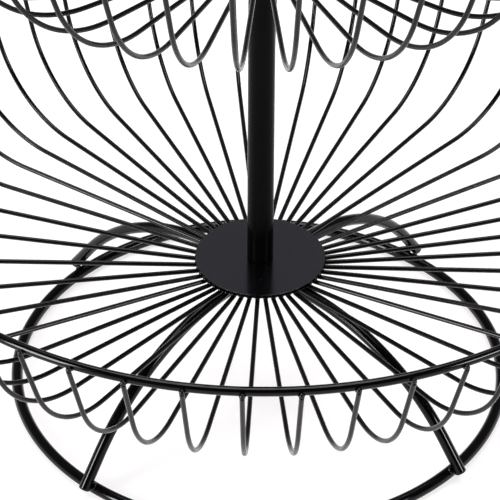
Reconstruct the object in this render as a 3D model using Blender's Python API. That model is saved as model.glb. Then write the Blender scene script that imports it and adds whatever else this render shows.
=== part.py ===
"""Two-tier fruit basket of welded black wire on a ring base.

A round wire ring lies on the table.  Four bent legs rise from its outer side to a
boss under the lower basket.  Each basket is a thin round hub plate, a ring of spoke
wires that run out from under the plate, turn up through a wide bend and end against
the outside of a rim ring.  A tube post stands between the two hub plates, a second
one above the upper plate, and a loop handle on top.

Metres, +Z up.  The base ring rests on z = 0 and its axis is the Z axis.  Azimuths run
from the front (-Y) towards +X.
"""

from dataclasses import dataclass
from math import cos, pi, radians, sin, tan

import bmesh
import bpy
from mathutils import Matrix, Vector

# Clearance left between two pieces that touch
SEAT_GAP = 0.0003
# Corners closer than this are one
MERGE_DISTANCE = 0.000003

# Base: ring and legs
BASE_RING_RADIUS = 0.0955
BASE_WIRE = 0.0045
LEG_WIRE = 0.0045
LEG_SLOPE = radians(53)
# How much of the leg's shorter straight the bend takes up
LEG_BEND_SHARE = 0.83
LEG_FOOT_CLEARANCE = 0.0025
LEG_TURN = radians(4.5)
LEG_NAMES = ("leg_front_right", "leg_back_right", "leg_back_left", "leg_front_left")

# Boss that the legs are welded to, and the screw that pulls the stand together
BOSS_RADIUS = 0.012
BOLT_RADIUS = 0.003
BOLT_GRIP = 0.015
BOLT_HEAD_FLATS = 0.010
BOLT_HEAD_HEIGHT = 0.004
WASHER_RADIUS = 0.009
WASHER_THICKNESS = 0.0016

# Hub plates
LOWER_PLATE_TOP = 0.0565
TIER_SPACING = 0.1436
PLATE_RADIUS = 0.025
PLATE_THICKNESS = 0.0015
PLATE_EDGE = 0.0004

# Spoke wires: shared by both baskets
SPOKE_WIRE = 0.0018
SPOKES_PER_GROUP = 3
# Welded wires side by side: their spacing as a share of the wire
NEST_SHARE = 0.85
GROUP_GAP = 0.0008
TIP_RISE = 0.0006
RIM_WIRE = 0.0033

# Welding by hand leaves slow waves in the spoke spacing: waves per turn, and where each starts
DRIFT_WAVES = (1, 2, 3, 5)
DRIFT_START_SHARES = (0.16, 0.38, 0.18, 0.015)

# Lower basket
LOWER_GROUPS = 16
LOWER_FLOOR_SLOPE = radians(4.4)
LOWER_FLOOR_REACH = 0.1073
LOWER_BEND_RADIUS = 0.0454
LOWER_WALL_ANGLE = radians(70.3)
LOWER_WALL_LENGTH = 0.0249
LOWER_TURN = radians(-2.2)
LOWER_DRIFT = (radians(1.3), radians(1.7), radians(1.6), radians(1.0))

# Upper basket
UPPER_GROUPS = 14
UPPER_FLOOR_SLOPE = radians(5)
UPPER_FLOOR_REACH = 0.0818
UPPER_BEND_RADIUS = 0.0584
UPPER_WALL_ANGLE = radians(68)
UPPER_WALL_LENGTH = 0.020
UPPER_TURN = radians(-4)
UPPER_DRIFT = (radians(0.2), radians(0.3), radians(0.3), radians(0.4))

# Posts and handle
POST_RADIUS = 0.005
UPPER_POST_LENGTH = 0.095
COLLAR_RADIUS = 0.0065
COLLAR_HEIGHT = 0.007
COLLAR_EDGE = 0.0008
SPIGOT_LENGTH = 0.010
LOOP_RADIUS = 0.022
LOOP_WIRE = 0.0045
SADDLE_DEPTH = 0.0015

# Facets
TURNED_STEPS = 24
SCREW_STEPS = 12
PLATE_STEPS = 36
BASE_RING_STEPS = 56
RIM_STEPS_PER_GROUP = 5
LOOP_STEPS = 32
SPOKE_BEND_STEPS = 4
LEG_BEND_STEPS = 7
# Widest angle between faces that still shades smooth
TURNED_SMOOTH = radians(40)
WIRE_SMOOTH = radians(65)

# Finishes: colour, roughness, metallic
BLACK_COAT = ((0.012, 0.012, 0.013), 0.34, 0.0)
SATIN_COAT = ((0.030, 0.030, 0.033), 0.42, 0.0)
ZINC = ((0.52, 0.52, 0.54), 0.36, 1.0)


@dataclass
class Basket:
    """One basket's form: the places that its plate, spokes and rim share."""

    name: str
    plate_top: float
    groups: int
    slope: float
    reach: float
    bend: float
    wall_angle: float
    wall: float
    turn: float
    drift: tuple

    def spoke_height(self):
        """Height of the spokes' centre line where they lie under the plate."""
        return self.plate_top - PLATE_THICKNESS - SEAT_GAP - SPOKE_WIRE / 2

    def group_azimuth(self, group):
        """Direction of a group's inner ends, in even steps round the post."""
        return 2 * pi * group / self.groups + self.turn

    def spoke_azimuth(self, number):
        """Direction of a spoke's outer run: even steps, moved by the drift."""
        azimuth = self.group_azimuth(number / SPOKES_PER_GROUP)
        turn_share = number / (self.groups * SPOKES_PER_GROUP)
        for waves, start_share, swing in zip(DRIFT_WAVES, DRIFT_START_SHARES, self.drift):
            azimuth += swing * cos(2 * pi * waves * (turn_share - start_share))
        return azimuth

    def spoke_start(self):
        """Radius where the spokes begin, wide enough for all the groups side by side."""
        group_width = SPOKE_WIRE * (1 + NEST_SHARE * (SPOKES_PER_GROUP - 1))
        return (group_width + GROUP_GAP) / 2 / tan(pi / self.groups)

    def profile(self):
        """(radius, height) points of a spoke from the plate's edge to its tip."""
        height = self.spoke_height()
        start = height + (self.reach - PLATE_RADIUS) * tan(self.slope)
        points = [(PLATE_RADIUS, height)]
        for step in range(SPOKE_BEND_STEPS + 1):
            angle = self.slope + (self.wall_angle - self.slope) * step / SPOKE_BEND_STEPS
            radius = self.reach + self.bend * (sin(angle) - sin(self.slope))
            points.append((radius, start + self.bend * (cos(self.slope) - cos(angle))))
        radius, height = points[-1]
        points.append((radius + self.wall * cos(self.wall_angle),
                       height + self.wall * sin(self.wall_angle)))
        return points

    def rim_centre(self):
        """(radius, height) of the rim ring's centre line, just inside the spoke tips."""
        radius, height = self.profile()[-1]
        inset = (SPOKE_WIRE + RIM_WIRE) / 2 + SEAT_GAP
        radius -= inset * sin(self.wall_angle) + TIP_RISE * cos(self.wall_angle)
        height += inset * cos(self.wall_angle) - TIP_RISE * sin(self.wall_angle)
        return radius, height


LOWER = Basket(
    name="lower", plate_top=LOWER_PLATE_TOP, groups=LOWER_GROUPS, slope=LOWER_FLOOR_SLOPE,
    reach=LOWER_FLOOR_REACH, bend=LOWER_BEND_RADIUS, wall_angle=LOWER_WALL_ANGLE,
    wall=LOWER_WALL_LENGTH, turn=LOWER_TURN, drift=LOWER_DRIFT)
UPPER = Basket(
    name="upper", plate_top=LOWER_PLATE_TOP + TIER_SPACING, groups=UPPER_GROUPS,
    slope=UPPER_FLOOR_SLOPE, reach=UPPER_FLOOR_REACH, bend=UPPER_BEND_RADIUS,
    wall_angle=UPPER_WALL_ANGLE, wall=UPPER_WALL_LENGTH, turn=UPPER_TURN, drift=UPPER_DRIFT)

# Heights and radii that several pieces share
BOLT_BORE = BOLT_RADIUS + SEAT_GAP
BASE_RING_HEIGHT = BASE_WIRE / 2 * cos(pi / 8)
LEG_HEIGHT = LOWER.spoke_height() - (SPOKE_WIRE + LEG_WIRE) / 2 - SEAT_GAP
BOSS_TOP = LOWER_PLATE_TOP - PLATE_THICKNESS - SEAT_GAP
BOSS_BOTTOM = LEG_HEIGHT - LEG_WIRE / 2
LOWER_POST_BOTTOM = LOWER_PLATE_TOP + SEAT_GAP
LOWER_POST_TOP = UPPER.plate_top - PLATE_THICKNESS - SEAT_GAP
UPPER_POST_BOTTOM = UPPER.plate_top + SEAT_GAP
UPPER_POST_TOP = UPPER_POST_BOTTOM + UPPER_POST_LENGTH
COLLAR_BOTTOM = UPPER_POST_TOP + SEAT_GAP
COLLAR_TOP = COLLAR_BOTTOM + COLLAR_HEIGHT
LOOP_HEIGHT = COLLAR_TOP - SADDLE_DEPTH + SEAT_GAP + LOOP_WIRE / 2 + LOOP_RADIUS


def clear_scene():
    for thing in list(bpy.data.objects):
        bpy.data.objects.remove(thing, do_unlink=True)


def outward(azimuth):
    """Unit vector that points away from the post."""
    return Vector((sin(azimuth), -cos(azimuth), 0))


def sideways(azimuth):
    """Unit vector along the circle, towards growing azimuth."""
    return Vector((cos(azimuth), sin(azimuth), 0))


def place_object(name, mesh):
    piece = bpy.data.objects.new(name, mesh)
    bpy.context.collection.objects.link(piece)
    return piece


def finish_object(piece, finish, smooth_angle=TURNED_SMOOTH):
    """Give a piece its own material and smooth shading."""
    colour, roughness, metallic = finish
    material = bpy.data.materials.new(piece.name + "_finish")
    material.use_nodes = True
    shader = material.node_tree.nodes["Principled BSDF"]
    shader.inputs["Base Color"].default_value = (*colour, 1)
    shader.inputs["Roughness"].default_value = roughness
    shader.inputs["Metallic"].default_value = metallic
    piece.data.materials.clear()
    piece.data.materials.append(material)
    piece.data.shade_smooth()
    piece.data.set_sharp_from_angle(angle=smooth_angle)


def mesh_from(name, shape):
    """Turn a bmesh into a mesh whose faces point out."""
    bmesh.ops.recalc_face_normals(shape, faces=shape.faces)
    mesh = bpy.data.meshes.new(name)
    shape.to_mesh(mesh)
    shape.free()
    return mesh


def turned_mesh(name, profile, steps):
    """Revolve a closed (radius, height) outline round the Z axis."""
    shape = bmesh.new()
    corners = [shape.verts.new((radius, 0, height)) for radius, height in profile]
    edges = [shape.edges.new((corners[i - 1], corners[i])) for i in range(len(corners))]
    bmesh.ops.spin(shape, geom=corners + edges, axis=(0, 0, 1), cent=(0, 0, 0),
                   angle=2 * pi, steps=steps, use_merge=True)
    bmesh.ops.remove_doubles(shape, verts=shape.verts, dist=MERGE_DISTANCE)
    on_axis = [edge for edge in shape.edges if not edge.link_faces]
    bmesh.ops.delete(shape, geom=on_axis, context="EDGES")
    return mesh_from(name, shape)


def add_turned(name, outline, steps, finish):
    finish_object(place_object(name, turned_mesh(name, outline, steps)), finish)


def rod_mesh(name, radius, bottom, top, sides):
    """A solid rod on the Z axis."""
    shape = bmesh.new()
    place = Matrix.Translation((0, 0, (bottom + top) / 2))
    bmesh.ops.create_cone(shape, cap_ends=True, segments=sides, radius1=radius, radius2=radius,
                          depth=top - bottom, matrix=place)
    return mesh_from(name, shape)


def tube_outline(bore, radius, bottom, top, edge=0):
    """Outline of a turned tube or disc with a hole, and a small bevel on its top edge."""
    outline = [(bore, bottom), (radius, bottom), (radius, top - edge), (bore, top)]
    if edge:
        outline.insert(3, (radius - edge, top))
    return outline


def wire_ring_mesh(name, ring_radius, wire, sides, steps, flat_angle=0):
    """A closed ring of round wire about the Z axis, centred on z = 0."""
    shape = bmesh.new()
    place = Matrix.Translation((ring_radius, 0, 0)) @ Matrix.Rotation(pi / 2, 4, "X")
    section = bmesh.ops.create_circle(shape, segments=sides, radius=wire / 2,
                                      matrix=place @ Matrix.Rotation(flat_angle, 4, "Z"))
    loop = section["verts"] + list(shape.edges)
    bmesh.ops.spin(shape, geom=loop, axis=(0, 0, 1), cent=(0, 0, 0),
                   angle=2 * pi, steps=steps, use_merge=True)
    return mesh_from(name, shape)


def wire_mesh(name, points, wire, resolution):
    """A length of round wire along points, with flat ends: a bevelled curve made into a mesh."""
    curve = bpy.data.curves.new(name + "_path", "CURVE")
    curve.dimensions = "3D"
    curve.twist_mode = "Z_UP"
    curve.bevel_depth = wire / 2
    curve.bevel_resolution = resolution
    curve.use_fill_caps = True
    line = curve.splines.new("POLY")
    line.points.add(len(points) - 1)
    for point, place in zip(line.points, points):
        point.co = (*place, 1)
    guide = place_object(name + "_path", curve)
    shape = bmesh.new()
    shape.from_mesh(bpy.data.meshes.new_from_object(
        guide.evaluated_get(bpy.context.evaluated_depsgraph_get())))
    bpy.data.objects.remove(guide, do_unlink=True)
    bmesh.ops.remove_doubles(shape, verts=shape.verts, dist=MERGE_DISTANCE)
    return mesh_from(name, shape)


def boolean(piece, tool_mesh, operation):
    """Join a mesh to a piece, or cut it out, with an exact Boolean."""
    tool = place_object(piece.name + "_tool", tool_mesh)
    step = piece.modifiers.new(operation.lower(), "BOOLEAN")
    step.operation = operation
    step.solver = "EXACT"
    step.object = tool
    shape = bmesh.new()
    shape.from_mesh(bpy.data.meshes.new_from_object(
        piece.evaluated_get(bpy.context.evaluated_depsgraph_get())))
    piece.modifiers.clear()
    bpy.data.objects.remove(tool, do_unlink=True)
    bmesh.ops.remove_doubles(shape, verts=shape.verts, dist=MERGE_DISTANCE)
    shape.to_mesh(piece.data)
    shape.free()


def make_base_ring():
    mesh = wire_ring_mesh("base_ring", BASE_RING_RADIUS, BASE_WIRE, 8, BASE_RING_STEPS, pi / 8)
    mesh.transform(Matrix.Translation((0, 0, BASE_RING_HEIGHT)))
    finish_object(place_object("base_ring", mesh), BLACK_COAT, WIRE_SMOOTH)


def leg_profile():
    """(radius, height) points of a leg: out from the boss, down a wide bend, past the ring."""
    seat = (BASE_WIRE + LEG_WIRE) / 2 + SEAT_GAP
    drop = LEG_HEIGHT - BASE_RING_HEIGHT - seat * cos(LEG_SLOPE)
    corner = BASE_RING_RADIUS + seat * sin(LEG_SLOPE) - drop / tan(LEG_SLOPE)
    start = BOSS_RADIUS + SEAT_GAP
    tangent = LEG_BEND_SHARE * min(corner - start, drop / sin(LEG_SLOPE))
    bend_radius = tangent / tan(LEG_SLOPE / 2)
    points = [(start, LEG_HEIGHT)]
    for step in range(LEG_BEND_STEPS + 1):
        angle = LEG_SLOPE * step / LEG_BEND_STEPS
        points.append((corner - tangent + bend_radius * sin(angle),
                       LEG_HEIGHT - bend_radius * (1 - cos(angle))))
    foot = LEG_FOOT_CLEARANCE + LEG_WIRE / 2 * cos(LEG_SLOPE)
    points.append((corner + (LEG_HEIGHT - foot) / tan(LEG_SLOPE), foot))
    return points


def make_legs():
    for number, name in enumerate(LEG_NAMES):
        azimuth = LEG_TURN + 2 * pi * (number + 0.5) / len(LEG_NAMES)
        path = [outward(azimuth) * radius + Vector((0, 0, height)) for radius, height in leg_profile()]
        finish_object(place_object(name, wire_mesh(name, path, LEG_WIRE, 2)), BLACK_COAT, WIRE_SMOOTH)


def make_boss():
    outline = tube_outline(BOLT_BORE, BOSS_RADIUS, BOSS_BOTTOM, BOSS_TOP)
    add_turned("leg_boss", outline, TURNED_STEPS, BLACK_COAT)


def make_base_bolt():
    """Hexagon screw from below, through the boss and the lower plate into the post."""
    washer_top = BOSS_BOTTOM - SEAT_GAP
    head_top = washer_top - WASHER_THICKNESS - SEAT_GAP
    washer = tube_outline(BOLT_BORE, WASHER_RADIUS, washer_top - WASHER_THICKNESS, washer_top)
    add_turned("base_washer", washer, TURNED_STEPS, ZINC)
    head_bottom = head_top - BOLT_HEAD_HEIGHT
    head_radius = BOLT_HEAD_FLATS / 2 / cos(pi / 6)
    bolt = place_object("base_bolt", rod_mesh("base_bolt", head_radius, head_bottom, head_top, 6))
    shank_bottom = (head_bottom + head_top) / 2
    shank_top = LOWER_POST_BOTTOM + BOLT_GRIP
    boolean(bolt, rod_mesh("shank", BOLT_RADIUS, shank_bottom, shank_top, SCREW_STEPS), "UNION")
    finish_object(bolt, ZINC)


def make_hub_plate(basket):
    name = basket.name + "_hub_plate"
    outline = tube_outline(BOLT_BORE, PLATE_RADIUS, basket.plate_top - PLATE_THICKNESS,
                           basket.plate_top, PLATE_EDGE)
    add_turned(name, outline, PLATE_STEPS, SATIN_COAT)


def spoke_path(basket, group, place_in_group):
    """A spoke's centre line; under the plate it leans to its group, where the wires are welded."""
    start = outward(basket.group_azimuth(group)) * basket.spoke_start()
    start += sideways(basket.group_azimuth(group)) * place_in_group * SPOKE_WIRE * NEST_SHARE
    path = [start + Vector((0, 0, basket.spoke_height()))]
    azimuth = basket.spoke_azimuth(group * SPOKES_PER_GROUP + place_in_group)
    for radius, height in basket.profile():
        path.append(outward(azimuth) * radius + Vector((0, 0, height)))
    return path


def make_spokes(basket):
    """Groups of three spokes, welded side by side at their inner ends."""
    for group in range(basket.groups):
        name = f"{basket.name}_spokes_{group + 1:02d}"
        wires = [wire_mesh(name, spoke_path(basket, group, place), SPOKE_WIRE, 1)
                 for place in (0, -1, 1)]
        spokes = place_object(name, wires[0])
        boolean(spokes, wires[1], "UNION")
        boolean(spokes, wires[2], "UNION")
        finish_object(spokes, BLACK_COAT, WIRE_SMOOTH)


def make_rim_ring(basket):
    name = basket.name + "_rim_ring"
    radius, height = basket.rim_centre()
    mesh = wire_ring_mesh(name, radius, RIM_WIRE, 6, basket.groups * RIM_STEPS_PER_GROUP)
    mesh.transform(Matrix.Translation((0, 0, height)))
    finish_object(place_object(name, mesh), BLACK_COAT, WIRE_SMOOTH)


def make_posts():
    """Two tubes, and the threaded stud that joins them through the upper plate."""
    lower = tube_outline(BOLT_BORE, POST_RADIUS, LOWER_POST_BOTTOM, LOWER_POST_TOP)
    upper = tube_outline(BOLT_BORE, POST_RADIUS, UPPER_POST_BOTTOM, UPPER_POST_TOP)
    add_turned("lower_post", lower, TURNED_STEPS, BLACK_COAT)
    add_turned("upper_post", upper, TURNED_STEPS, BLACK_COAT)
    stud = rod_mesh("post_stud", BOLT_RADIUS, LOWER_POST_TOP - BOLT_GRIP,
                    UPPER_POST_BOTTOM + BOLT_GRIP, SCREW_STEPS)
    finish_object(place_object("post_stud", stud), ZINC)


def loop_mesh(name, wire):
    """The handle loop: a ring of wire that stands upright across the front."""
    mesh = wire_ring_mesh(name, LOOP_RADIUS, wire, 6, LOOP_STEPS)
    mesh.transform(Matrix.Translation((0, 0, LOOP_HEIGHT)) @ Matrix.Rotation(pi / 2, 4, "X"))
    return mesh


def make_handle():
    """Collar screwed on the upper post, with a saddle that carries the loop."""
    outline = [(0, COLLAR_BOTTOM - SPIGOT_LENGTH), (BOLT_RADIUS, COLLAR_BOTTOM - SPIGOT_LENGTH),
               (BOLT_RADIUS, COLLAR_BOTTOM), (COLLAR_RADIUS, COLLAR_BOTTOM),
               (COLLAR_RADIUS, COLLAR_TOP - COLLAR_EDGE), (COLLAR_RADIUS - COLLAR_EDGE, COLLAR_TOP),
               (0, COLLAR_TOP)]
    collar = place_object("handle_collar", turned_mesh("handle_collar", outline, TURNED_STEPS))
    boolean(collar, loop_mesh("saddle", LOOP_WIRE + 2 * SEAT_GAP), "DIFFERENCE")
    finish_object(collar, BLACK_COAT)
    finish_object(place_object("handle_loop", loop_mesh("handle_loop", LOOP_WIRE)),
                  BLACK_COAT, WIRE_SMOOTH)


def main():
    clear_scene()
    make_base_ring()
    make_legs()
    make_boss()
    make_base_bolt()
    for basket in (LOWER, UPPER):
        make_hub_plate(basket)
        make_spokes(basket)
        make_rim_ring(basket)
    make_posts()
    make_handle()


main()
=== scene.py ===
# %% [markdown]
# # A two-tier fruit basket of black wire
#
# The stand is welded from round steel wire and powder coated black.  A wire ring lies on
# the table and four bent legs rise from it.  Each basket is a thin round hub plate with
# spoke wires that run out from under it, turn up through a wide bend and end on the
# outside of a rim ring.  A tube post joins the two baskets and carries a loop handle.
#
# The CAD frame holds every piece at its true place, with few faces.  This script draws
# the same pieces again as smooth, bent and welded wire, and gives them their finish.

# %% The frame and the tools
from math import atan, cos, pi, radians, sin, tan

import bpy
from mathutils import Matrix, Vector


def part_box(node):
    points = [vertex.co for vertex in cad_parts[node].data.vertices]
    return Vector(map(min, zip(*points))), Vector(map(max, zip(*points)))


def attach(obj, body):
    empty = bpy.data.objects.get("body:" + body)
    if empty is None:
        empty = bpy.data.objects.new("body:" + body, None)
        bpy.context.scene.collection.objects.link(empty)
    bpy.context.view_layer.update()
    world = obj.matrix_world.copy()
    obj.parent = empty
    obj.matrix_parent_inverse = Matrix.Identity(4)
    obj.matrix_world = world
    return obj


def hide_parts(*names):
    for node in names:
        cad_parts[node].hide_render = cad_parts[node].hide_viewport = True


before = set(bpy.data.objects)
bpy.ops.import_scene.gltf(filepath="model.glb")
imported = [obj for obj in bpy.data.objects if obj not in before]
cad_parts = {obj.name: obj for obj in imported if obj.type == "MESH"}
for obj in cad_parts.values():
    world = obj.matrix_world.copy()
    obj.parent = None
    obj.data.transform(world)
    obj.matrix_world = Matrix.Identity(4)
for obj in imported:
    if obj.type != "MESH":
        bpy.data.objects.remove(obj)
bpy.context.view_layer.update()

BODY = "root"

# %% [markdown]
# ## Where the camera stands
#
# The photograph is a close-up from above, taken with a long lens: the outline of the hub
# plate and the crossing points of the wires give the camera's height and distance.  The
# camera is placed first, so that each piece can be compared with the photograph as it is
# made.  It aims a little beside the hub, because the hub isn't in the middle of the picture.

# %% Camera
PICTURE = 500
SENSOR = 36
HUB = Vector((0, 0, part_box("lower_hub_plate")[1].z))
CAMERA_DISTANCE = 1.0933
CAMERA_ELEVATION = radians(36.63)
CAMERA_ROLL = radians(-0.436)
FOCAL_PIXELS = 2847.6
HUB_PIXEL = Vector((260.12, 256.01))
NEAREST_SHARE = 0.05


def place_camera():
    back = Vector((0, -cos(CAMERA_ELEVATION), sin(CAMERA_ELEVATION)))
    camera = bpy.data.objects.new("camera", bpy.data.cameras.new("camera"))
    bpy.context.collection.objects.link(camera)
    camera.data.sensor_width = SENSOR
    camera.data.lens = FOCAL_PIXELS * SENSOR / PICTURE
    beside = (PICTURE / 2 - HUB_PIXEL.x) / FOCAL_PIXELS
    above = (HUB_PIXEL.y - PICTURE / 2) / FOCAL_PIXELS
    level = back.to_track_quat("Z", "Y").to_matrix() @ Matrix.Rotation(-CAMERA_ROLL, 3, "Z")
    turn = level @ Matrix.Rotation(atan(above), 3, "X") @ Matrix.Rotation(-atan(beside), 3, "Y")
    camera.matrix_world = Matrix.Translation(HUB + back * CAMERA_DISTANCE) @ turn.to_4x4()
    camera.data.clip_start = CAMERA_DISTANCE * NEAREST_SHARE
    bpy.context.scene.camera = camera
    return camera


camera = place_camera()
print("camera at", [round(value, 4) for value in camera.matrix_world.translation])

# %% [markdown]
# ## Sums on shader sockets
#
# A finish is a sum of patterns: broad drift, fine grain, specks.  Written as Python sums
# they stay readable, so a small class wraps a socket and each operator adds a Math node.

# %% Shader helpers


class Signal:
    """A socket that carries a number, with the usual operators."""

    def __init__(self, finish, socket):
        self.finish = finish
        self.socket = socket

    def math(self, operation, *values):
        return self.finish.node("ShaderNodeMath", {"operation": operation}, (self, *values))

    def __add__(self, other):
        return self.math("ADD", other)

    def __sub__(self, other):
        return self.math("SUBTRACT", other)

    def __mul__(self, other):
        return self.math("MULTIPLY", other)

    def __truediv__(self, other):
        return self.math("DIVIDE", other)

    def __rsub__(self, other):
        return self * -1 + other

    __radd__ = __add__
    __rmul__ = __mul__


class Finish:
    """A material, or the world, whose nodes are added by one method."""

    def __init__(self, owner):
        self.owner = owner
        owner.use_nodes = True
        self.tree = owner.node_tree
        self.tree.nodes.clear()

    def node(self, kind, settings=None, values=(), output=0):
        """Add a node: its settings, then its inputs by place or by name, and return an output."""
        node = self.tree.nodes.new(kind)
        for name, setting in (settings or {}).items():
            if name == "stops":
                for stop, (place, shade) in zip(node.color_ramp.elements, setting):
                    stop.position = place
                    stop.color = (shade, shade, shade, 1)
            else:
                setattr(node, name, setting)
        named = values.items() if isinstance(values, dict) else enumerate(values)
        for name, value in named:
            if isinstance(value, Signal):
                self.tree.links.new(value.socket, node.inputs[name])
            else:
                node.inputs[name].default_value = value
        return Signal(self, node.outputs[output]) if node.outputs else None

    def place(self):
        """Object coordinates, which are the row frame's metres."""
        return self.node("ShaderNodeTexCoord", output="Object")

    def noise(self, grain, detail=2.0, roughness=0.5):
        """A soft pattern from 0 to 1 whose features are about grain metres across."""
        return self.node("ShaderNodeTexNoise", values={
            "Vector": self.place(), "Scale": 1 / grain, "Detail": detail, "Roughness": roughness})

    def specks(self, spacing, size):
        """1 on small dots scattered about spacing metres apart, and 0 between them."""
        near = self.node("ShaderNodeTexVoronoi", values={
            "Vector": self.place(), "Scale": 1 / spacing})
        return self.ramp(near, (size / spacing / 2, 1), (size / spacing, 0))

    def ramp(self, signal, low, high):
        """Map a number through two stops: low = (place, shade), high = (place, shade)."""
        return self.node("ShaderNodeValToRGB", {"stops": (low, high)}, (signal,))

    def blend(self, share, first, second):
        """Mix two colours."""
        return self.node("ShaderNodeMix", {"data_type": "RGBA"},
                         {0: share, 6: first, 7: second}, output=2)


print("shader helpers ready")

# %% [markdown]
# ## Black powder coat
#
# Powder coat melts into a semi-gloss skin with a faint orange peel, so highlights on a
# wire are thin grey lines with a slightly broken edge.  The colour is never pure black:
# it drifts a little between charcoal and black.  A few grains of unmelted powder stand
# proud, and here and there a speck of dust lies on it.  Peel and grains are bumps far
# smaller than the wire.  Sizes, spacings and depths are in metres.  The other numbers say
# how much each pattern counts.

# %% Coats
BLACK = (0.0006, 0.0006, 0.0007, 1)
CHARCOAL = (0.0016, 0.0015, 0.0017, 1)
PLATE_BLACK = (0.0005, 0.0004, 0.0008, 1)
PLATE_CHARCOAL = (0.0011, 0.0010, 0.0017, 1)
DUST = (0.09, 0.085, 0.08, 1)
WHITE = (1, 1, 1, 1)
DRIFT_SIZE = 0.018
DRIFT_SHARE = 0.6
CLOUD_SIZE = 0.004
CLOUD_SHARE = 0.4
ALL_DARK = 0.3
ALL_LIGHT = 0.7
GRAIN_SPACING = 0.0045
GRAIN_SIZE = 0.00028
DUST_SPACING = 0.011
DUST_SIZE = 0.00022
DUST_COVER = 0.6
CLOUD_DULLS = 0.06
GRAIN_DULLS = 0.2
DUST_DULLS = 0.3
PEEL_HEIGHT = 0.5
GRAIN_HEIGHT = 1.5
CLOUD_HEIGHT = 0.3
COAT_BUMP = 0.35


def coat(name, dark, light, gloss, sheen, peel_size, peel_depth, lacquer=0.0):
    """A powder coat: two colours, roughness, mirror share, peel and a share of clear lacquer."""
    finish = Finish(bpy.data.materials.new(name))
    drift = finish.noise(DRIFT_SIZE, detail=3)
    cloud = finish.noise(CLOUD_SIZE, detail=4, roughness=0.6)
    peel = finish.noise(peel_size, detail=1)
    grains = finish.specks(GRAIN_SPACING, GRAIN_SIZE)
    dust = finish.specks(DUST_SPACING, DUST_SIZE)
    patches = drift * DRIFT_SHARE + cloud * CLOUD_SHARE
    shade = finish.ramp(patches, (ALL_DARK, 0), (ALL_LIGHT, 1))
    colour = finish.blend(dust * DUST_COVER, finish.blend(shade, dark, light), DUST)
    roughness = (cloud * CLOUD_DULLS + grains * GRAIN_DULLS + dust * DUST_DULLS
                 + (gloss - CLOUD_DULLS / 2))
    height = peel * PEEL_HEIGHT + grains * GRAIN_HEIGHT + cloud * CLOUD_HEIGHT
    normal = finish.node("ShaderNodeBump", values={
        "Strength": COAT_BUMP, "Distance": peel_depth, "Height": height})
    shader = finish.node("ShaderNodeBsdfPrincipled", values={
        "Base Color": colour, "Roughness": roughness, "Specular IOR Level": sheen,
        "Coat Weight": lacquer, "Coat Roughness": gloss, "Normal": normal})
    finish.node("ShaderNodeOutputMaterial", values={"Surface": shader})
    return finish.owner


WIRE_COAT = coat("wire_powder_coat", BLACK, CHARCOAL, gloss=0.2, sheen=0.21,
                 peel_size=0.0011, peel_depth=0.00002)
ROD_COAT = coat("rod_powder_coat", BLACK, CHARCOAL, gloss=0.1, sheen=0.2,
                peel_size=0.0016, peel_depth=0.000012)
TUBE_COAT = coat("tube_powder_coat", BLACK, CHARCOAL, gloss=0.17, sheen=0.05,
                 peel_size=0.0016, peel_depth=0.00001)
WELD_COAT = coat("weld_powder_coat", BLACK, CHARCOAL, gloss=0.15, sheen=0.32,
                 peel_size=0.0006, peel_depth=0.000006)
PLATE_COAT = coat("plate_powder_coat", PLATE_BLACK, PLATE_CHARCOAL, gloss=0.17, sheen=0.88,
                  peel_size=0.0013, peel_depth=0.000008, lacquer=0.6)
print("coats:", [material.name for material in bpy.data.materials if "coat" in material.name])

# %% [markdown]
# ## Zinc plate
#
# The screw, washer and stud that pull the stand together are bought parts.  Their zinc
# plating is a pale metal with fine brush marks and cloudy patches of passivation.

# %% Zinc
ZINC_LIGHT = (0.56, 0.57, 0.59, 1)
ZINC_DULL = (0.34, 0.35, 0.36, 1)
ZINC_CLOUD_SIZE = 0.003
ZINC_ALL_LIGHT = 0.35
ZINC_ALL_DULL = 0.65
ZINC_ROUGHNESS = 0.2
ZINC_CLOUD_DULLS = 0.3
BRUSH_SIZE = 0.0004
BRUSH_DEPTH = 0.00002
BRUSH_BUMP = 0.3


def zinc_plate():
    finish = Finish(bpy.data.materials.new("zinc_plate"))
    cloud = finish.noise(ZINC_CLOUD_SIZE, detail=4)
    brushing = finish.noise(BRUSH_SIZE, detail=2)
    normal = finish.node("ShaderNodeBump", values={
        "Strength": BRUSH_BUMP, "Distance": BRUSH_DEPTH, "Height": brushing})
    dullness = finish.ramp(cloud, (ZINC_ALL_LIGHT, 0), (ZINC_ALL_DULL, 1))
    shader = finish.node("ShaderNodeBsdfPrincipled", values={
        "Base Color": finish.blend(dullness, ZINC_LIGHT, ZINC_DULL),
        "Roughness": cloud * ZINC_CLOUD_DULLS + ZINC_ROUGHNESS, "Metallic": 1.0,
        "Normal": normal})
    finish.node("ShaderNodeOutputMaterial", values={"Surface": shader})
    return finish.owner


ZINC = zinc_plate()
print("zinc ready")

# %% [markdown]
# ## Drawing wire
#
# A wire bender feeds wire straight, then draws it round a former.  The pen below does the
# same in edit mode: it starts as a circle, extrudes it along the heading and spins it
# round the bend's centre.  The section stays round, and a bend is a true arc.

# %% The wire pen
SEAM = 0.000002
SMOOTH = radians(50)


def select_only(*pieces):
    bpy.ops.object.select_all(action="DESELECT")
    for piece in pieces:
        piece.select_set(True)
    bpy.context.view_layer.objects.active = pieces[0]


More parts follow.
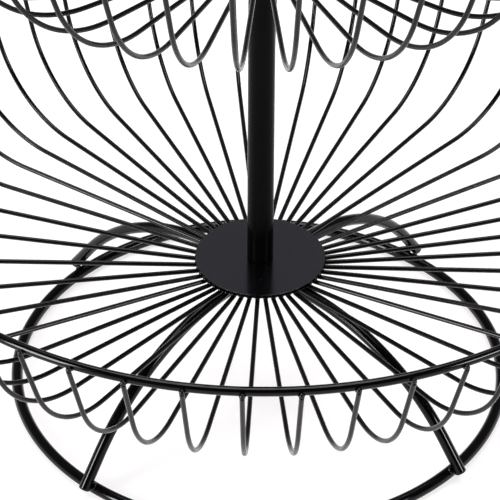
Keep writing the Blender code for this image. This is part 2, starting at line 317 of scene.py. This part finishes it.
class WirePen:
    """Draws one wire in edit mode; bends turn about the axis named side."""

    def __init__(self, name, radius, sides, point, heading, side):
        self.name = name
        self.point = Vector(point)
        self.heading = Vector(heading).normalized()
        self.side = Vector(side)
        turn = self.heading.to_track_quat("Z", "Y").to_euler()
        bpy.ops.object.select_all(action="DESELECT")
        bpy.ops.mesh.primitive_circle_add(vertices=sides, radius=radius,
                                          location=self.point, rotation=turn)
        bpy.ops.object.transform_apply(location=True, rotation=True, scale=True)
        bpy.ops.object.mode_set(mode="EDIT")
        bpy.ops.mesh.select_all(action="SELECT")

    def feed(self, length):
        """Push wire straight on."""
        step = self.heading * length
        bpy.ops.mesh.extrude_region_move(TRANSFORM_OT_translate={"value": step})
        self.point += step

    def bend(self, radius, angle, steps):
        """Draw wire round a former; the spin operator turns against the angle's sign."""
        centre = self.point + self.side.cross(self.heading) * radius
        bpy.ops.mesh.spin(steps=steps, angle=-angle, center=centre, axis=self.side)
        turn = Matrix.Rotation(angle, 3, self.side)
        self.point = centre + turn @ (self.point - centre)
        self.heading = turn @ self.heading

    def swell(self, factor):
        """Make the section at the pen wider or thinner."""
        bpy.ops.transform.resize(value=(factor, factor, factor), center_override=self.point)

    def cut(self, edge, radius):
        """End the wire with a cut face; it takes two lengths of the edge, the second tapered."""
        self.feed(edge)
        self.feed(edge)
        self.swell(1 - edge / radius)

    def lift(self, material):
        """Close the ends and leave edit mode with a smooth, coated skin."""
        bpy.ops.mesh.select_all(action="SELECT")
        bpy.ops.mesh.remove_doubles(threshold=SEAM)
        bpy.ops.mesh.fill_holes(sides=0)
        bpy.ops.mesh.normals_make_consistent(inside=False)
        bpy.ops.object.mode_set(mode="OBJECT")
        bpy.ops.object.shade_smooth_by_angle(angle=SMOOTH)
        piece = bpy.context.object
        piece.name = self.name
        piece.data.materials.append(material)
        return piece


# %% [markdown]
# ## Directions, copies and handing over
#
# Everything on the stand is laid out round the post, so a direction is an azimuth from
# the front.  A wire is modelled once, in front, and its copies are turned into place.
# Each copy has its own mesh and stays at the origin, as the frame's nodes do.

# %% Round the post
UP = Vector((0, 0, 1))
DOWNWARD_BENDS = Vector((1, 0, 0))
UPWARD_BENDS = Vector((-1, 0, 0))


def outward(azimuth):
    """Unit vector away from the post; azimuth 0 is the front and grows towards +X."""
    return Vector((sin(azimuth), -cos(azimuth), 0))


def sideways(azimuth):
    return Vector((cos(azimuth), sin(azimuth), 0))


def spot(azimuth, radius, height):
    return outward(azimuth) * radius + UP * height


def about_post(azimuth):
    return Matrix.Rotation(azimuth, 4, "Z")


def copy_of(source, name, move):
    """A copy with its own mesh, moved by a matrix."""
    piece = source.copy()
    piece.data = source.data.copy()
    piece.name = name
    bpy.context.collection.objects.link(piece)
    piece.data.transform(move)
    return piece


def join(name, pieces):
    select_only(*pieces)
    bpy.ops.object.join()
    pieces[0].name = name
    pieces[0].data.name = name
    return pieces[0]


def drop(*sources):
    """Remove the models that copies were taken from."""
    for source in sources:
        bpy.data.objects.remove(source, do_unlink=True)


def hand_over(piece, node):
    """Let a finished piece ride with the stand and stand for its CAD node."""
    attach(piece, BODY)
    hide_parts(node)


# %% [markdown]
# ## Weld beads
#
# Each wire is welded where it lies against another.  Under the coat the weld shows as a
# small smooth drop that fills the corner between the two.  The drop starts as a little
# faceted ball and is made uneven, and every weld is a copy of it, pulled along its seam.
# A weld grows with the wire, so its length, width and height are given in wires.

# %% The weld drop
DROP_UNEVEN = 0.05


def model_drop():
    bpy.ops.object.select_all(action="DESELECT")
    bpy.ops.mesh.primitive_ico_sphere_add(subdivisions=2, radius=1)
    piece = bpy.context.object
    piece.name = "weld_drop_model"
    bpy.ops.object.mode_set(mode="EDIT")
    bpy.ops.mesh.select_all(action="SELECT")
    bpy.ops.transform.vertex_random(offset=DROP_UNEVEN, uniform=0.4, normal=0.8, seed=7)
    bpy.ops.mesh.normals_make_consistent(inside=False)
    bpy.ops.object.mode_set(mode="OBJECT")
    bpy.ops.object.shade_smooth_by_angle(angle=pi)
    piece.data.materials.append(WELD_COAT)
    return piece


WELD_DROP = model_drop()


def weld(place, along, wire, shares, spin=0):
    """A weld drop laid along a direction; its length, width and height are shares of the wire."""
    lay = Vector(along).to_track_quat("X", "Z").to_matrix().to_4x4()
    size = Matrix.Diagonal((*(wire * share / 2 for share in shares), 1))
    turn = Matrix.Rotation(spin, 4, "X")
    return copy_of(WELD_DROP, "weld", Matrix.Translation(place) @ lay @ size @ turn)


print("weld drop:", len(WELD_DROP.data.polygons), "faces")

# %% [markdown]
# ## Base ring
#
# The stand rests on a ring of 4.5 mm wire.  A torus would do, but the real ring is a
# length of wire rolled round and butt welded, so it is spun from a circle and gets a low
# weld collar at the back.

# %% Base ring
SEAT_GAP = 0.0003
BASE_RING_RADIUS = 0.0955
BASE_WIRE = 0.0045
BASE_RING_HEIGHT = BASE_WIRE / 2
BASE_RING_STEPS = 192
ROD_SIDES = 24
BUTT_WELD = (0.8, 1.1, 0.76)
BUTT_WELD_RISE = 0.16


def roll_ring(name, radius, wire, height, sides, steps, material):
    """Wire rolled into a closed level ring round the post's axis, with its butt weld behind."""
    pen = WirePen(name, wire / 2, sides, spot(pi, radius, height), sideways(pi), UP)
    pen.bend(radius, 2 * pi, steps)
    ring = pen.lift(material)
    collar = weld(spot(pi, radius, height + wire * BUTT_WELD_RISE), sideways(pi), wire, BUTT_WELD)
    return join(name, (ring, collar))


base_ring = roll_ring("rolled_base_ring", BASE_RING_RADIUS, BASE_WIRE, BASE_RING_HEIGHT,
                      ROD_SIDES, BASE_RING_STEPS, ROD_COAT)
hand_over(base_ring, "base_ring")
print("base ring:", len(base_ring.data.polygons), "faces")

# %% [markdown]
# ## Legs
#
# Each leg is the same 4.5 mm wire: level out of the boss, down through one wide bend, and
# straight on past the outside of the base ring, where it is welded and cut flush.  The
# corner, its tangent and the bend radius follow from where the leg has to start and end.

# %% Legs
LEG_WIRE = 0.0045
LEG_SLOPE = radians(53)
LEG_BEND_SHARE = 0.83
LEG_FOOT_CLEARANCE = 0.0025
LEG_TURN = radians(4.5)
LEG_NAMES = ("leg_front_right", "leg_back_right", "leg_back_left", "leg_front_left")
LEG_BEND_STEPS = 32
CUT_EDGE = 0.0004
FOOT_WELD = (0.85, 0.42, 0.34)
FOOT_WELD_ASIDE = 0.4
FOOT_WELD_BACK = 0.12
SPATTER = (0.34, 0.34, 0.34)
SPATTER_OUT = 0.45
SPATTER_DOWN = 0.18
SPATTER_ASIDE = 0.5
BOSS_WELD = (0.6, 0.34, 0.34)
BOSS_WELD_SPREAD = 0.46
BOSS_WELDS = 6
BOSS_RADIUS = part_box("leg_boss")[1].x
BOSS_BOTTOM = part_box("leg_boss")[0].z
LEG_HEIGHT = BOSS_BOTTOM + LEG_WIRE / 2
LEG_SEAT = (BASE_WIRE + LEG_WIRE) / 2 + SEAT_GAP
LEG_DROP = LEG_HEIGHT - BASE_RING_HEIGHT - LEG_SEAT * cos(LEG_SLOPE)
LEG_CORNER = BASE_RING_RADIUS + LEG_SEAT * sin(LEG_SLOPE) - LEG_DROP / tan(LEG_SLOPE)
LEG_START = BOSS_RADIUS + SEAT_GAP
LEG_TANGENT = LEG_BEND_SHARE * min(LEG_CORNER - LEG_START, LEG_DROP / sin(LEG_SLOPE))
LEG_FOOT = LEG_FOOT_CLEARANCE + LEG_WIRE / 2 * cos(LEG_SLOPE)


def model_leg():
    pen = WirePen("leg_model", LEG_WIRE / 2, ROD_SIDES, spot(0, LEG_START, LEG_HEIGHT),
                  outward(0), DOWNWARD_BENDS)
    pen.feed(LEG_CORNER - LEG_START - LEG_TANGENT)
    pen.bend(LEG_TANGENT / tan(LEG_SLOPE / 2), LEG_SLOPE, LEG_BEND_STEPS)
    pen.feed((LEG_HEIGHT - LEG_FOOT) / sin(LEG_SLOPE) - LEG_TANGENT - CUT_EDGE * 2)
    pen.cut(CUT_EDGE, LEG_WIRE / 2)
    return pen.lift(ROD_COAT)


def foot_welds(outer_side):
    """A long drop in each corner between the leg and the base ring, and a spatter ball."""
    down = Vector((0, -cos(LEG_SLOPE), -sin(LEG_SLOPE)))
    seat = spot(0, BASE_RING_RADIUS + BASE_WIRE / 2 * sin(LEG_SLOPE),
                BASE_RING_HEIGHT + BASE_WIRE / 2 * cos(LEG_SLOPE))
    drops = []
    for side in (-1, 1):
        corner = seat + sideways(0) * side * LEG_WIRE * FOOT_WELD_ASIDE
        corner -= down * LEG_WIRE * FOOT_WELD_BACK
        drops.append(weld(corner, down, LEG_WIRE, FOOT_WELD, side))
    ball = spot(0, BASE_RING_RADIUS + BASE_WIRE * SPATTER_OUT,
                BASE_RING_HEIGHT - BASE_WIRE * SPATTER_DOWN)
    ball += sideways(0) * outer_side * LEG_WIRE * SPATTER_ASIDE
    drops.append(weld(ball, down, LEG_WIRE, SPATTER))
    return drops


def boss_welds():
    """Drops round the top of the leg, where it meets the boss."""
    start = spot(0, LEG_START, LEG_HEIGHT)
    drops = []
    for number in range(BOSS_WELDS):
        turn = 2 * pi * number / BOSS_WELDS
        edge = start + (sideways(0) * cos(turn) + UP * sin(turn)) * LEG_WIRE * BOSS_WELD_SPREAD
        along = sideways(0) * -sin(turn) + UP * cos(turn)
        drops.append(weld(edge, along, LEG_WIRE, BOSS_WELD, number))
    return drops


leg_model = join("leg_model", [model_leg(), *boss_welds()])
for number, node in enumerate(LEG_NAMES):
    azimuth = LEG_TURN + 2 * pi * (number + 0.5) / len(LEG_NAMES)
    welds = join("foot_welds", foot_welds(1 if "right" in node else -1))
    welds.data.transform(about_post(azimuth))
    leg = copy_of(leg_model, "bent_" + node, about_post(azimuth))
    hand_over(join("bent_" + node, [leg, welds]), node)
print("leg:", len(leg_model.data.polygons), "faces, bend radius",
      round(LEG_TANGENT / tan(LEG_SLOPE / 2), 4))

# %% [markdown]
# ## Turned pieces
#
# The boss, washer, hub plates, tubes and collar are round about the post.  Each grows
# like a pot on a wheel: a circle at the first point of the outline, then extruded and
# scaled to each next point.  Edges are small arcs, because a coat never leaves them sharp.

# %% Turning
SHOULDER = 0.0002


def arc(centre, radius, start, end, steps=4):
    """Points of a rounded edge, as (radius, height), between two angles in degrees.

    A close point before and after it, along its tangents, keeps the faces beside it flat.
    """
    turns = [radians(start + (end - start) * step / steps) for step in range(steps + 1)]
    points = [(centre[0] + radius * cos(turn), centre[1] + radius * sin(turn)) for turn in turns]
    before = (points[0][0] + SHOULDER * sin(turns[0]), points[0][1] - SHOULDER * cos(turns[0]))
    after = (points[-1][0] - SHOULDER * sin(turns[-1]), points[-1][1] + SHOULDER * cos(turns[-1]))
    return [before, *points, after]


def rounded_disc(bore, radius, bottom, top, edge):
    """Outline of a disc or tube with a bore and rounded outer edges."""
    return [(bore, bottom), *arc((radius - edge, bottom + edge), edge, -90, 0),
            *arc((radius - edge, top - edge), edge, 0, 90), (bore, top)]


def turn_piece(name, outline, sides, material):
    """Grow a solid of revolution ring by ring; an outline that starts on a bore is closed."""
    radius, height = outline[0]
    pen = WirePen(name, radius, sides, UP * height, UP, sideways(0))
    for new_radius, new_height in outline[1:]:
        pen.feed(new_height - pen.point.z)
        factor = new_radius / radius
        bpy.ops.transform.resize(value=(factor, factor, 1), center_override=pen.point)
        radius = new_radius
    return pen.lift(material)


def turn_tube(name, outline, sides, material):
    return turn_piece(name, [*outline, outline[0]], sides, material)


BOLT_RADIUS = 0.003
BOLT_BORE = BOLT_RADIUS + SEAT_GAP
DISC_SIDES = 96
BOSS_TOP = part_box("leg_boss")[1].z
BOSS_EDGE = 0.0006
boss_outline = rounded_disc(BOLT_BORE, BOSS_RADIUS, BOSS_BOTTOM, BOSS_TOP, BOSS_EDGE)
boss = turn_tube("turned_leg_boss", boss_outline, DISC_SIDES, ROD_COAT)
hand_over(boss, "leg_boss")
print("boss:", len(boss.data.polygons), "faces")

# %% [markdown]
# ## Washer, screw and stud
#
# An M6 hexagon screw with a washer pulls the boss, the lower plate and the post together
# from below, and a stud joins the two posts.  Only the washer and the screw's head show,
# from underneath, but a plain hexagon would look unfinished there, so the head's lower
# edges are turned off.  The ends of the screw and the stud are chamfered.

# %% Fasteners
WASHER_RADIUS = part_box("base_washer")[1].x
WASHER_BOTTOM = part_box("base_washer")[0].z
WASHER_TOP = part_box("base_washer")[1].z
WASHER_EDGE = 0.0003
HEAD_FLATS = 0.010
HEAD_SIDES = 6
HEAD_HEIGHT = 0.004
HEAD_TURNED_SHARE = 0.1
HEAD_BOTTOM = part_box("base_bolt")[0].z
SHANK_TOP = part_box("base_bolt")[1].z
STUD_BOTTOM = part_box("post_stud")[0].z
STUD_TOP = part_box("post_stud")[1].z
SCREW_SIDES = 32
THREAD_END = 0.0008

washer_outline = rounded_disc(BOLT_BORE, WASHER_RADIUS, WASHER_BOTTOM, WASHER_TOP, WASHER_EDGE)
washer = turn_tube("zinc_washer", washer_outline, DISC_SIDES, ZINC)
hand_over(washer, "base_washer")


def screw_head():
    """A hexagon whose lower edges are turned off."""
    corner = HEAD_FLATS / 2 / cos(pi / HEAD_SIDES)
    pen = WirePen("head", corner, HEAD_SIDES, UP * (HEAD_BOTTOM + HEAD_HEIGHT), -UP, sideways(0))
    pen.feed(HEAD_HEIGHT * (1 - HEAD_TURNED_SHARE))
    bpy.ops.mesh.edge_face_add()
    bpy.ops.mesh.bevel(offset=HEAD_HEIGHT * HEAD_TURNED_SHARE, segments=2)
    return pen.lift(ZINC)


def threaded_rod(name, bottom, top):
    """A rod as thick as the screw, with both ends chamfered."""
    outline = [(BOLT_RADIUS - THREAD_END, bottom), (BOLT_RADIUS, bottom + THREAD_END),
               (BOLT_RADIUS, top - THREAD_END), (BOLT_RADIUS - THREAD_END, top)]
    return turn_piece(name, outline, SCREW_SIDES, ZINC)


shank_bottom = HEAD_BOTTOM + HEAD_HEIGHT / 2
screw = join("hexagon_screw", [screw_head(), threaded_rod("shank", shank_bottom, SHANK_TOP)])
hand_over(screw, "base_bolt")
stud = threaded_rod("threaded_stud", STUD_BOTTOM, STUD_TOP)
hand_over(stud, "post_stud")
print("fasteners:", len(washer.data.polygons), len(screw.data.polygons), len(stud.data.polygons))

# %% [markdown]
# ## The two baskets
#
# Both baskets share one recipe.  A spoke runs level under the plate, slopes up a few
# degrees, turns through the wide bend and climbs to the rim.  Spokes are set by hand in a
# jig, so their spacing drifts a little round the basket.  The lower basket in the
# photograph shows that drift, and four slow waves follow it.

# %% Basket sizes
PLATE_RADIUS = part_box("lower_hub_plate")[1].x
PLATE_THICKNESS = 0.0015
SPOKE_WIRE = 0.0018
SPOKES_PER_GROUP = 3
NEST_SHARE = 0.85
GROUP_GAP = 0.0008
TIP_RISE = 0.0006
RIM_WIRE = 0.0033
DRIFT_WAVES = (1, 2, 3, 5)
DRIFT_START_SHARES = (0.16, 0.38, 0.18, 0.015)


class Basket:
    """One basket's form, from its plate to its rim; angles are in degrees."""

    def __init__(self, name, groups, slope, reach, bend, wall_angle, wall, turn, drift):
        self.name = name
        self.plate_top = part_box(name + "_hub_plate")[1].z
        self.groups = groups
        self.slope = radians(slope)
        self.reach = reach
        self.bend = bend
        self.wall_angle = radians(wall_angle)
        self.wall = wall
        self.turn = radians(turn)
        self.drift = [radians(swing) for swing in drift]
        self.height = self.plate_top - PLATE_THICKNESS - SEAT_GAP - SPOKE_WIRE / 2
        group_width = SPOKE_WIRE * (1 + NEST_SHARE * (SPOKES_PER_GROUP - 1))
        self.start = (group_width + GROUP_GAP) / 2 / tan(pi / groups)

    def group_azimuth(self, group):
        return 2 * pi * group / self.groups + self.turn

    def spoke_azimuth(self, number):
        turn_share = number / (self.groups * SPOKES_PER_GROUP)
        azimuth = self.group_azimuth(number / SPOKES_PER_GROUP)
        for waves, start_share, swing in zip(DRIFT_WAVES, DRIFT_START_SHARES, self.drift):
            azimuth += swing * cos(2 * pi * waves * (turn_share - start_share))
        return azimuth

    def tip(self):
        """(radius, height) of the spoke's end."""
        radius = self.reach + self.bend * (sin(self.wall_angle) - sin(self.slope))
        height = self.height + (self.reach - PLATE_RADIUS) * tan(self.slope)
        height += self.bend * (cos(self.slope) - cos(self.wall_angle))
        return radius + self.wall * cos(self.wall_angle), height + self.wall * sin(self.wall_angle)

    def rim_centre(self, inset=(SPOKE_WIRE + RIM_WIRE) / 2 + SEAT_GAP, below=TIP_RISE):
        """(radius, height) of a point inset from the spoke and below its tip, as the rim is."""
        radius, height = self.tip()
        return (radius - inset * sin(self.wall_angle) - below * cos(self.wall_angle),
                height + inset * cos(self.wall_angle) - below * sin(self.wall_angle))


LOWER = Basket("lower", groups=16, slope=4.4, reach=0.1073, bend=0.0454,
               wall_angle=70.3, wall=0.0249, turn=-2.2, drift=(1.3, 1.7, 1.6, 1.0))
UPPER = Basket("upper", groups=14, slope=5, reach=0.0818, bend=0.0584,
               wall_angle=68, wall=0.020, turn=-4, drift=(0.2, 0.3, 0.3, 0.4))
for basket in (LOWER, UPPER):
    print(basket.name, "tip", basket.tip(), "rim", basket.rim_centre())

# %% [markdown]
# ## Hub plates
#
# A hub plate is a stamped disc, 1.5 mm thick.  Its punched edge is nearly sharp on top, so
# the coat rounds it only a little.  The flat faces are smooth and shiny.  On the edge the
# coat is dull and darker, like that of the tubes.

# %% Hub plates
PLATE_TOP_EDGE = 0.00012
PLATE_UNDER_EDGE = 0.0003
PLATE_SIDES = 160
PLATE_FACE_SLOPE = 0.97


def stamp_plate(basket):
    top = basket.plate_top
    bottom = top - PLATE_THICKNESS
    under_edge = (PLATE_RADIUS - PLATE_UNDER_EDGE, bottom + PLATE_UNDER_EDGE)
    top_edge = (PLATE_RADIUS - PLATE_TOP_EDGE, top - PLATE_TOP_EDGE)
    outline = [(BOLT_BORE, bottom), *arc(under_edge, PLATE_UNDER_EDGE, -90, 0),
               *arc(top_edge, PLATE_TOP_EDGE, 0, 90), (BOLT_BORE, top)]
    plate = turn_tube(basket.name + "_stamped_plate", outline, PLATE_SIDES, PLATE_COAT)
    plate.data.materials.append(TUBE_COAT)
    for face in plate.data.polygons:
        face.material_index = int(abs(face.normal.z) < PLATE_FACE_SLOPE)
    hand_over(plate, basket.name + "_hub_plate")
    return plate


for basket in (LOWER, UPPER):
    print(basket.name, "plate:", len(stamp_plate(basket).data.polygons), "faces")

# %% [markdown]
# ## Spokes
#
# One spoke of each basket is drawn in front, with the weld under the plate's edge and the
# ball that its tip melts into at the rim.  Copies are turned to their places.  Three
# spokes make one group, as in the CAD frame: under the plate their inner ends lean
# together and share a weld.

# %% Spokes
SPOKE_SIDES = 12
SPOKE_BEND_STEPS = 22
KINK_RADIUS = 0.012
KINK_STEPS = 2
TIP_TRIM = 0.00026
SPOKE_CUT = 0.00025
TIP_BALL = (1.22, 1.22, 1.22)
TIP_BALL_INSET = 0.25
RIM_WELD = (1.5, 0.8, 0.8)
RIM_WELD_INSET = 0.6
PLATE_WELD = (1.3, 0.8, 0.5)
PLATE_WELD_INSET = 0.25
NEST_WELD = (3, 1.6, 0.8)


def model_spoke(basket):
    pen = WirePen("spoke_model", SPOKE_WIRE / 2, SPOKE_SIDES, spot(0, basket.start, basket.height),
                  outward(0), UPWARD_BENDS)
    kink = KINK_RADIUS * tan(basket.slope / 2)
    pen.feed(PLATE_RADIUS - basket.start - kink)
    pen.bend(KINK_RADIUS, basket.slope, KINK_STEPS)
    pen.feed((basket.reach - PLATE_RADIUS) / cos(basket.slope) - kink)
    pen.bend(basket.bend, basket.wall_angle - basket.slope, SPOKE_BEND_STEPS)
    pen.feed(basket.wall - SPOKE_CUT * 2 - TIP_TRIM)
    pen.cut(SPOKE_CUT, SPOKE_WIRE / 2)
    return pen.lift(WIRE_COAT)


def spoke_welds(basket):
    """The ball at the tip, the weld on the rim and the weld under the plate's edge."""
    tip_seat = spot(0, *basket.rim_centre(SPOKE_WIRE * TIP_BALL_INSET, 0))
    rim_seat = spot(0, *basket.rim_centre(SPOKE_WIRE * RIM_WELD_INSET))
    plate_seat = spot(0, PLATE_RADIUS - SPOKE_WIRE * PLATE_WELD_INSET,
                      basket.plate_top - PLATE_THICKNESS)
    return [weld(tip_seat, UP, SPOKE_WIRE, TIP_BALL),
            weld(rim_seat, sideways(0), SPOKE_WIRE, RIM_WELD),
            weld(plate_seat, sideways(0), SPOKE_WIRE, PLATE_WELD)]


def lean_in(piece, basket, group, place):
    """Shift the inner end of a turned spoke to its seat in the group."""
    azimuth = basket.spoke_azimuth(group * SPOKES_PER_GROUP + place)
    seat = spot(basket.group_azimuth(group), basket.start, basket.height)
    seat += sideways(basket.group_azimuth(group)) * place * SPOKE_WIRE * NEST_SHARE
    here = spot(azimuth, basket.start, basket.height)
    for corner in piece.data.vertices:
        if (corner.co - here).length < SPOKE_WIRE:
            corner.co += seat - here


def set_spokes(basket):
    wire = model_spoke(basket)
    welds = join("spoke_weld_model", spoke_welds(basket))
    for group in range(basket.groups):
        group_azimuth = basket.group_azimuth(group)
        nest_weld = weld(spot(group_azimuth, basket.start + SPOKE_WIRE, basket.height),
                         sideways(group_azimuth), SPOKE_WIRE, NEST_WELD)
        pieces = []
        for place in (0, -1, 1):
            turn = about_post(basket.spoke_azimuth(group * SPOKES_PER_GROUP + place))
            spoke = copy_of(wire, "spoke", turn)
            lean_in(spoke, basket, group, place)
            pieces += [spoke, copy_of(welds, "weld", turn)]
        node = f"{basket.name}_spokes_{group + 1:02d}"
        hand_over(join("bent_" + node, [*pieces, nest_weld]), node)
    print(basket.name, "spokes:", basket.groups * SPOKES_PER_GROUP, "with",
          len(wire.data.polygons), "faces")
    drop(wire, welds)


for basket in (LOWER, UPPER):
    set_spokes(basket)

# %% [markdown]
# ## Rim rings
#
# The rim is a ring of 3.3 mm wire, rolled like the base ring.  The spokes' tips end on its
# outside, and their welds are part of the spokes.

# %% Rim rings
RIM_SIDES = 20
RIM_STEPS = 224
for basket in (LOWER, UPPER):
    rim = roll_ring(basket.name + "_rolled_rim", basket.rim_centre()[0], RIM_WIRE,
                    basket.rim_centre()[1], RIM_SIDES, RIM_STEPS, ROD_COAT)
    hand_over(rim, basket.name + "_rim_ring")
    print(basket.name, "rim:", len(rim.data.polygons), "faces")

# %% [markdown]
# ## Posts
#
# The posts are 10 mm tube with square-cut ends.  They stand on the plates without a
# flange, so the edge at the foot is only just broken.

# %% Posts
POST_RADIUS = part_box("lower_post")[1].x
POST_EDGE = 0.00015
POST_SIDES = 64
for node in ("lower_post", "upper_post"):
    low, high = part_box(node)
    tube_outline = rounded_disc(BOLT_BORE, POST_RADIUS, low.z, high.z, POST_EDGE)
    tube = turn_tube("tube_" + node, tube_outline, POST_SIDES, TUBE_COAT)
    hand_over(tube, node)
    print(node, [round(value, 4) for value in (low.z, high.z)])

# %% [markdown]
# ## Collar and loop handle
#
# Above the picture the post carries a handle: a ring of wire that stands upright, welded
# into the top of a small turned collar.  The collar's spigot goes down into the tube.
# The ring is rolled 0.01 mm tighter than the CAD ring, so that its rounder top ends no
# higher.

# %% Handle
COLLAR_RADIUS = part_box("handle_collar")[1].x
COLLAR_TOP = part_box("handle_collar")[1].z
COLLAR_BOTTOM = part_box("upper_post")[1].z + SEAT_GAP
SPIGOT_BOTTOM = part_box("handle_collar")[0].z
COLLAR_EDGE = 0.0008
LOOP_RADIUS = 0.02199
LOOP_WIRE = 0.0045
SADDLE_DEPTH = 0.0015
LOOP_HEIGHT = COLLAR_TOP - SADDLE_DEPTH + LOOP_WIRE / 2 + LOOP_RADIUS
LOOP_STEPS = 96
LOOP_WELDS = (-2, -1, 0, 1, 2)
LOOP_WELD = (0.5, 0.34, 0.3)
LOOP_WELD_OUT = 0.46
LOOP_WELD_SPACING = 0.28

collar_outline = [(BOLT_RADIUS - CUT_EDGE, SPIGOT_BOTTOM), (BOLT_RADIUS, SPIGOT_BOTTOM + CUT_EDGE),
                  (BOLT_RADIUS, COLLAR_BOTTOM),
                  *arc((COLLAR_RADIUS - CUT_EDGE, COLLAR_BOTTOM + CUT_EDGE), CUT_EDGE, -90, 0),
                  *arc((COLLAR_RADIUS - COLLAR_EDGE, COLLAR_TOP - COLLAR_EDGE), COLLAR_EDGE, 0, 90)]
collar = turn_piece("turned_collar", collar_outline, POST_SIDES, ROD_COAT)
hand_over(collar, "handle_collar")


def bend_loop():
    bottom = UP * (LOOP_HEIGHT - LOOP_RADIUS)
    pen = WirePen("loop", LOOP_WIRE / 2, ROD_SIDES, bottom, sideways(0), outward(0))
    pen.bend(LOOP_RADIUS, 2 * pi, LOOP_STEPS)
    drops = []
    for side in (-1, 1):
        seat = UP * COLLAR_TOP + outward(0) * side * LOOP_WIRE * LOOP_WELD_OUT
        for number in LOOP_WELDS:
            place = seat + sideways(0) * number * LOOP_WIRE * LOOP_WELD_SPACING
            drops.append(weld(place, sideways(0), LOOP_WIRE, LOOP_WELD, number))
    return join("loop_of_wire", [pen.lift(ROD_COAT), *drops])


loop = bend_loop()
hand_over(loop, "handle_loop")
drop(leg_model, WELD_DROP)
print("handle:", len(collar.data.polygons), len(loop.data.polygons), "faces")

# %% [markdown]
# ## Floor
#
# The photograph is a cut-out on white.  The floor is pale and lit like the object, and
# adds light of its own for rays from the camera, so that it reaches white there and keeps
# a faint shadow where the ring touches it.  Far out, where the lamps reach less, it adds
# more.  Mirrored rays see the same floor.

# %% Floor
FLOOR_SIZE = 14
FLOOR_DROP = 0.0002
FLOOR_COLOUR = (0.40, 0.39, 0.39, 1)
FLOOR_TINT = (1, 0.975, 0.975, 1)
GLOW_NEAR = 0.72
GLOW_FAR = 1
GLOW_REACH = 3
GLOW_START_SHARE = 0.2


def seen_directly(finish):
    """1 for rays that should see the white studio: from the camera, and mirrored or bent."""
    seen = [finish.node("ShaderNodeLightPath", output=name)
            for name in ("Is Camera Ray", "Is Glossy Ray", "Is Transmission Ray")]
    return seen[0].math("MAXIMUM", seen[1].math("MAXIMUM", seen[2]))


def lay_floor():
    bpy.ops.object.select_all(action="DESELECT")
    bpy.ops.mesh.primitive_plane_add(size=FLOOR_SIZE, location=(0, 0, -FLOOR_DROP))
    floor = bpy.context.object
    floor.name = "floor"
    finish = Finish(bpy.data.materials.new("white_floor"))
    matt = finish.node("ShaderNodeBsdfDiffuse", values={"Color": FLOOR_COLOUR})
    distance = finish.node("ShaderNodeVectorMath", {"operation": "LENGTH"},
                           (finish.place(),), output=1)
    strength = finish.ramp(distance / GLOW_REACH, (GLOW_START_SHARE, GLOW_NEAR), (1, GLOW_FAR))
    glow = finish.node("ShaderNodeEmission", values={
        "Color": FLOOR_TINT, "Strength": seen_directly(finish) * strength})
    both = finish.node("ShaderNodeAddShader", values=(matt, glow))
    finish.node("ShaderNodeOutputMaterial", values={"Surface": both})
    floor.data.materials.append(finish.owner)


lay_floor()
print("floor laid")

# %% [markdown]
# ## Studio light
#
# Black shows only what it mirrors, so the lamps are placed by the highlights.  The bright
# lines on the two front legs point to a soft box on each side of the camera, and the
# light top of the rim ring to one overhead.  The rest of the room is dark behind the camera
# and bluish grey at the back, which gives the hub plate its even tone, and a white band at
# the horizon carries the floor on.

# %% Studio light
BACK_SHADE = 0.215
FRONT_SHADE = 0.03
BAND_TOP = 0.06
BAND_FADE = 0.18
ROOM_BLACK = (0, 0, 0, 1)
ROOM_TINT = (0.96, 0.93, 1.1, 1)
WALL_FRONT_SHARE = 0.4
WALL_BACK_SHARE = 0.6
SIDE_BRIGHTNESS = 28
OVERHEAD_BRIGHTNESS = 5.5


def light_room():
    world = bpy.data.worlds.new("studio")
    bpy.context.scene.world = world
    finish = Finish(world)
    direction = finish.node("ShaderNodeTexCoord", output="Generated")
    depth = finish.node("ShaderNodeSeparateXYZ", values=(direction,), output="Y")
    rise = finish.node("ShaderNodeSeparateXYZ", values=(direction,), output="Z")
    walls = finish.ramp(depth * 0.5 + 0.5, (WALL_FRONT_SHARE, FRONT_SHADE),
                        (WALL_BACK_SHARE, BACK_SHADE))
    band = finish.ramp(rise, (BAND_TOP, 1), (BAND_FADE, 0))
    room = finish.blend(walls, ROOM_BLACK, ROOM_TINT)
    sky = finish.node("ShaderNodeBackground", values={"Color": finish.blend(band, room, WHITE)})
    finish.node("ShaderNodeOutputWorld", values={"Surface": sky})


def soft_box(name, azimuth, elevation, distance, size, brightness):
    """An area lamp that faces the lower hub; brightness is how bright its face looks."""
    azimuth = radians(azimuth)
    elevation = radians(elevation)
    towards = outward(azimuth) * cos(elevation) + UP * sin(elevation)
    lamp = bpy.data.lights.new(name, "AREA")
    lamp.shape = "RECTANGLE"
    lamp.size, lamp.size_y = size
    lamp.energy = brightness * pi * size[0] * size[1]
    box = bpy.data.objects.new(name, lamp)
    bpy.context.collection.objects.link(box)
    box.matrix_world = (Matrix.Translation(HUB + towards * distance)
                        @ towards.to_track_quat("Z", "Y").to_matrix().to_4x4())


light_room()
soft_box("left_box", azimuth=-55, elevation=17, distance=2.8, size=(0.8, 1.5),
         brightness=SIDE_BRIGHTNESS)
soft_box("right_box", azimuth=57, elevation=25, distance=2.8, size=(0.6, 0.7),
         brightness=SIDE_BRIGHTNESS)
soft_box("overhead_box", azimuth=180, elevation=77, distance=2.6, size=(1.5, 2.1),
         brightness=OVERHEAD_BRIGHTNESS)
bpy.context.scene.view_settings.view_transform = "Standard"
print("lamps:", [lamp.name for lamp in bpy.data.lights])
